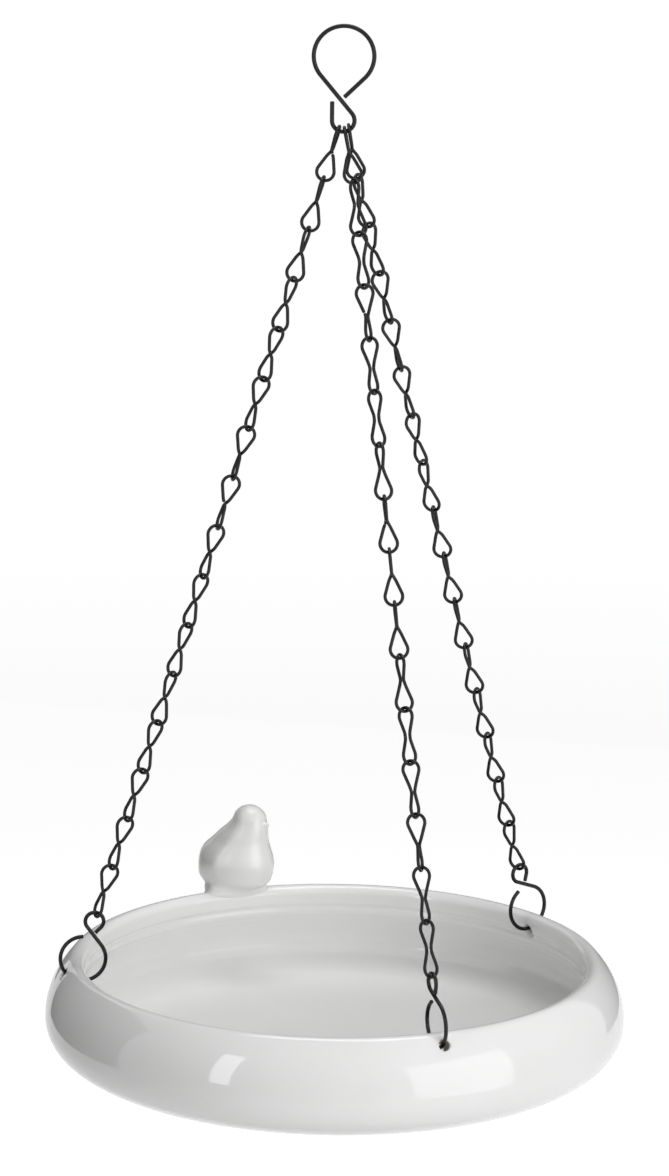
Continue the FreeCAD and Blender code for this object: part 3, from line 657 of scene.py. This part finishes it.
def birdRing(v, height, bodyRow, footWay):
    # one level of the body: round breast, flatter flanks, drawn in to a narrow foot below
    forward, halfLength, halfWidth = bodyRow
    low, high = v["wingEnds"]
    lowTurn, highTurn = v["wingTurns"]
    spread, behindSpread = v["wingSpread"]
    turn = lowTurn + (highTurn - lowTurn) * easeBetween(low, high, height)
    comesIn = easeBetween(low + v["wingComesIn"][0], low + v["wingComesIn"][1], height)
    goesOut = easeBetween(high + v["wingGoesOut"][0], high + v["wingGoesOut"][1], height)
    wing = v["wingRaised"] * comesIn * (1 - goesOut)
    drawn = 1 - easeBetween(*v["footBlend"], height)
    footLength, footWidth = smoothRow(v["footRows"], height)
    square, steps = v["footSquareness"], v["bodySides"]
    ring = []
    for i in range(steps):
        angle = 2 * math.pi * i / steps
        power = 2.0
        behind = -math.cos(angle)
        if behind > 0:
            power += (v["backSharpness"] - 2.0) * min(1.0, behind * v["backBlend"])
        reach = (abs(math.cos(angle) / halfLength) ** power
                 + abs(math.sin(angle) / halfWidth) ** power) ** (-1 / power)
        fromEdge = abs(math.degrees((angle + math.pi) % (2 * math.pi) - math.pi)) - turn
        width = spread if fromEdge < 0 else spread * behindSpread
        reach += wing * math.exp(-(fromEdge / width) ** 2)
        place = Vector((forward + reach * math.cos(angle), reach * math.sin(angle), height))
        across = angle - footWay
        footReach = (abs(math.cos(across) / footLength) ** square
                     + abs(math.sin(across) / footWidth) ** square) ** (-1 / square)
        foot = Vector((footReach * math.cos(angle) + v["footShift"] * math.cos(footWay),
                       footReach * math.sin(angle) + v["footShift"] * math.sin(footWay), height))
        ring.append(place.lerp(foot, drawn))
    return ring


def addRings(mesh, rings):
    loops = [[mesh.verts.new(p) for p in ring] for ring in rings]
    for lowerRing, upperRing in zip(loops, loops[1:]):
        for i in range(len(lowerRing)):
            j = (i + 1) % len(lowerRing)
            mesh.faces.new((lowerRing[i], lowerRing[j], upperRing[j], upperRing[i]))
    mesh.faces.new(list(reversed(loops[0])))
    mesh.faces.new(loops[-1])


def addBlob(mesh, segments, centre, radii, tilt):
    # an ellipsoid tipped about the bird's side-to-side axis, for the tail
    turn = (Matrix.Translation(centre) @ Matrix.Rotation(math.radians(tilt), 4, "Y")
            @ Matrix.Diagonal((*radii, 1.0)))
    bmesh.ops.create_uvsphere(mesh, u_segments=segments[0], v_segments=segments[1], radius=1.0,
                              matrix=turn)


def addBeak(mesh, v):
    # a short cone with a rounded tip, as a pressed clay beak has
    root, tip, rootRadius, tipRadius = v["beak"]
    rows, rounded, sides = v["beakRows"], v["beakRounded"], v["beakSides"]
    reach, least = v["beakRounding"]
    sideWay, way = Vector((0, 1, 0)), (Vector(tip) - Vector(root)).normalized()
    upWay = sideWay.cross(way)
    length = (Vector(tip) - Vector(root)).length
    angles = [2 * math.pi * k / sides for k in range(sides)]
    rings = []
    for i in range(rows + 1):
        radius = rootRadius + (tipRadius - rootRadius) * (i / rows)
        if i > rounded:
            radius *= math.sqrt(max(1 - ((i - rounded) / reach) ** 2, least))
        centre = Vector(root) + way * length * (i / rows)
        rings.append([centre + (sideWay * math.cos(a) + upWay * math.sin(a) * v["beakFlatness"]) * radius
                      for a in angles])
    addRings(mesh, rings)


def makeBird(v):
    mesh = bmesh.new()
    footWay = math.radians(v["bearing"] - 90 - v["heading"])
    crownLow, crownHigh = v["crown"]
    footLow, rows = v["footRows"][0][0], v["bodyRows"]
    heights = [footLow + (crownLow - footLow) * i / rows for i in range(rows + 1)]
    rings = [birdRing(v, h, smoothRow(v["stations"], h), footWay) for h in heights]
    forward, halfLength, halfWidth = v["stations"][-1][1:]
    sunk, rows = v["crownSunk"], v["crownRows"]
    swell = crownHigh - crownLow + sunk       # the crown is the top of an ellipsoid
    base = math.sqrt(1 - (sunk / swell) ** 2)
    start = math.asin(sunk / swell)
    for i in range(1, rows + 1):
        angle = start + (math.pi / 2 - v["crownEnd"] - start) * i / rows
        share = math.cos(angle) / base
        rings.append(birdRing(v, crownLow - sunk + swell * math.sin(angle),
                              (forward, halfLength * share, halfWidth * share), footWay))
    addRings(mesh, rings)
    addBlob(mesh, v["tailSegments"], *v["tail"])
    addBeak(mesh, v)
    data = bpy.data.meshes.new("birdFigurine")
    mesh.to_mesh(data)
    mesh.free()
    bird = newObject("birdFigurine", data)
    shell = bird.modifiers.new("oneSkin", "REMESH")
    shell.mode = "VOXEL"
    shell.voxel_size = v["voxel"]
    soften = bird.modifiers.new("glazeSoftening", "SMOOTH")
    soften.factor, soften.iterations = v["softening"]
    seat = bowlCentre + polar(lipCentreRadius, v["bearing"]) + Vector((0, 0, bowlValues["rimHeight"]))
    graph = bpy.context.evaluated_depsgraph_get()
    skin = bpy.data.meshes.new_from_object(bird.evaluated_get(graph))
    bird.modifiers.clear()
    bird.data = skin
    skin.transform(Matrix.Scale(mm, 4) @ Matrix.Translation(seat)
                   @ Matrix.Rotation(math.radians(v["heading"]), 4, "Z"))
    skin.polygons.foreach_set("use_smooth", [True] * len(skin.polygons))
    skin.materials.clear()
    skin.materials.append(birdGlaze)
    return bird


bird = makeBird(birdValues)
print("bird", len(bird.data.polygons), "faces")

# Which CAD piece each one stands for
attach(topHook, "hanger")
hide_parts("top_hook")
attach(bowl, "suspended_bowl")
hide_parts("bowl")
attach(bird, "suspended_bowl")
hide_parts("bird_figurine")
for side in chains:
    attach(chains[side], "suspended_bowl")
    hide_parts(*["%s_chain_link_%02d" % (side, n) for n in range(1, linksPerChain + 1)])
    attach(rimHooks[side], "suspended_bowl")
    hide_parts(side + "_rim_hook")

# Studio
studioValues = {
    "floorHeight": -0.75, "floorReach": 14.0,
    "floorColour": "#f0f0f0", "white": "#ffffff", "worldStrength": 0.13,
    "floorFade": (0.9, 2.4),                  # metres over which the far floor turns plain white
    "floorLift": 0.63,                        # how much the near floor is brightened where it is seen
    "aim": (0, 0, -0.47),                     # the bowl, which every lamp is turned to
    # name: place, width, height, watts, and whether it lights surfaces, shows in them or both
    "lamps": {
        "rightSoftbox": ((1.01, -0.85, -0.24), 1.0, 1.05, 6.0, "shows"),
        "leftSoftbox": ((-0.921, -0.998, -0.01), 0.21, 0.95, 2.4, "both"),
        "frontFill": ((1.33, -1.58, 0.28), 2.0, 2.0, 34, "lights"),
        "overhead": ((0.1, 0.2, 1.3), 1.2, 0.8, 12.5, "both"),
        "backLeftFill": ((-1.5, 0.9, 0.2), 1.4, 1.4, 2.5, "lights"),
    },
    # grey cards out of the camera's sight: place, width, height, colour
    "cards": {
        "leftCard": ((-1.03, 0.52, -0.45), 1.3, 1.8, "#3a3c38"),
        "backCard": ((0.35, 1.5, -0.2), 2.3, 1.5, "#70706e"),
    },
}


def turnTo(obj, place, aim):
    obj.location = place
    obj.rotation_euler = (Vector(aim) - Vector(place)).to_track_quat("-Z", "Y").to_euler()


def sightRays(tree):
    # 1 for what the camera sees straight on, in a reflection or through glass
    path = addNode(tree, "ShaderNodeLightPath")
    seen = addNode(tree, "ShaderNodeMath", {"operation": "MAXIMUM"},
                   {0: path.outputs["Is Camera Ray"], 1: path.outputs["Is Glossy Ray"]})
    return addNode(tree, "ShaderNodeMath", {"operation": "MAXIMUM"},
                   {0: seen.outputs[0], 1: path.outputs["Is Transmission Ray"]}).outputs[0]


def flatMesh(name, width, height, place, material):
    mesh = bpy.data.meshes.new(name)
    x, y, z = width / 2, height / 2, place
    mesh.from_pydata([(-x, -y, z), (x, -y, z), (x, y, z), (-x, y, z)], [], [(0, 1, 2, 3)])
    mesh.materials.append(material)
    return newObject(name, mesh)


def makeStudio(v):
    world = bpy.data.worlds.new("paleStudio")
    bpy.context.scene.world = world
    world.use_nodes = True
    tree = world.node_tree
    tree.nodes.clear()
    white = fromHex(v["white"])
    light = addNode(tree, "ShaderNodeBackground", None, {"Color": white, "Strength": v["worldStrength"]})
    seen = addNode(tree, "ShaderNodeBackground", None, {"Color": white, "Strength": 1.0})
    mixed = addNode(tree, "ShaderNodeMixShader", None,
                    {0: sightRays(tree), 1: light.outputs[0], 2: seen.outputs[0]})
    addNode(tree, "ShaderNodeOutputWorld", None, {"Surface": mixed.outputs[0]})

    # Matt white paper: plain white far off, and near the object it keeps the soft shadow
    material, tree = newMaterial("mattPaperWhite")
    coords = addNode(tree, "ShaderNodeTexCoord")
    far = addNode(tree, "ShaderNodeVectorMath", {"operation": "LENGTH"}, {0: coords.outputs["Object"]})
    fade = addNode(tree, "ShaderNodeMapRange", {"interpolation_type": "SMOOTHSTEP"},
                   {"Value": far.outputs["Value"], "From Min": v["floorFade"][0],
                    "From Max": v["floorFade"][1]})
    base = addNode(tree, "ShaderNodeBsdfDiffuse", None, {"Color": fromHex(v["floorColour"])})
    lift = addNode(tree, "ShaderNodeEmission", None, {"Color": white, "Strength": v["floorLift"]})
    near = addNode(tree, "ShaderNodeAddShader", None, {0: base.outputs[0], 1: lift.outputs[0]})
    plain = addNode(tree, "ShaderNodeEmission", None, {"Color": white, "Strength": 1.0})
    backdrop = addNode(tree, "ShaderNodeMixShader", None,
                       {0: fade.outputs[0], 1: near.outputs[0], 2: plain.outputs[0]})
    mixed = addNode(tree, "ShaderNodeMixShader", None,
                    {0: sightRays(tree), 1: base.outputs[0], 2: backdrop.outputs[0]})
    addNode(tree, "ShaderNodeOutputMaterial", None, {"Surface": mixed.outputs[0]})
    flatMesh("paleFloor", 2 * v["floorReach"], 2 * v["floorReach"], v["floorHeight"], material)

    # Matt grey cards: the darker sides of the room that the glaze shows at its edges
    for name, (place, width, height, colour) in v["cards"].items():
        material, tree = newMaterial("mattCard" + name)
        grey = addNode(tree, "ShaderNodeBsdfDiffuse", None, {"Color": fromHex(colour)})
        addNode(tree, "ShaderNodeOutputMaterial", None, {"Surface": grey.outputs[0]})
        card = flatMesh(name, width, height, 0.0, material)
        turnTo(card, place, (0, 0, place[2]))
        card.visible_camera = card.visible_shadow = False

    for name, (place, width, height, watts, work) in v["lamps"].items():
        data = bpy.data.lights.new(name, "AREA")
        data.shape = "RECTANGLE"
        data.size = width
        data.size_y = height
        data.energy = watts
        lamp = newObject(name, data)
        turnTo(lamp, place, v["aim"])
        lamp.visible_glossy = work != "lights"
        lamp.visible_diffuse = work != "shows"


makeStudio(studioValues)
bpy.context.scene.view_settings.view_transform = "Standard"
print("studio set")
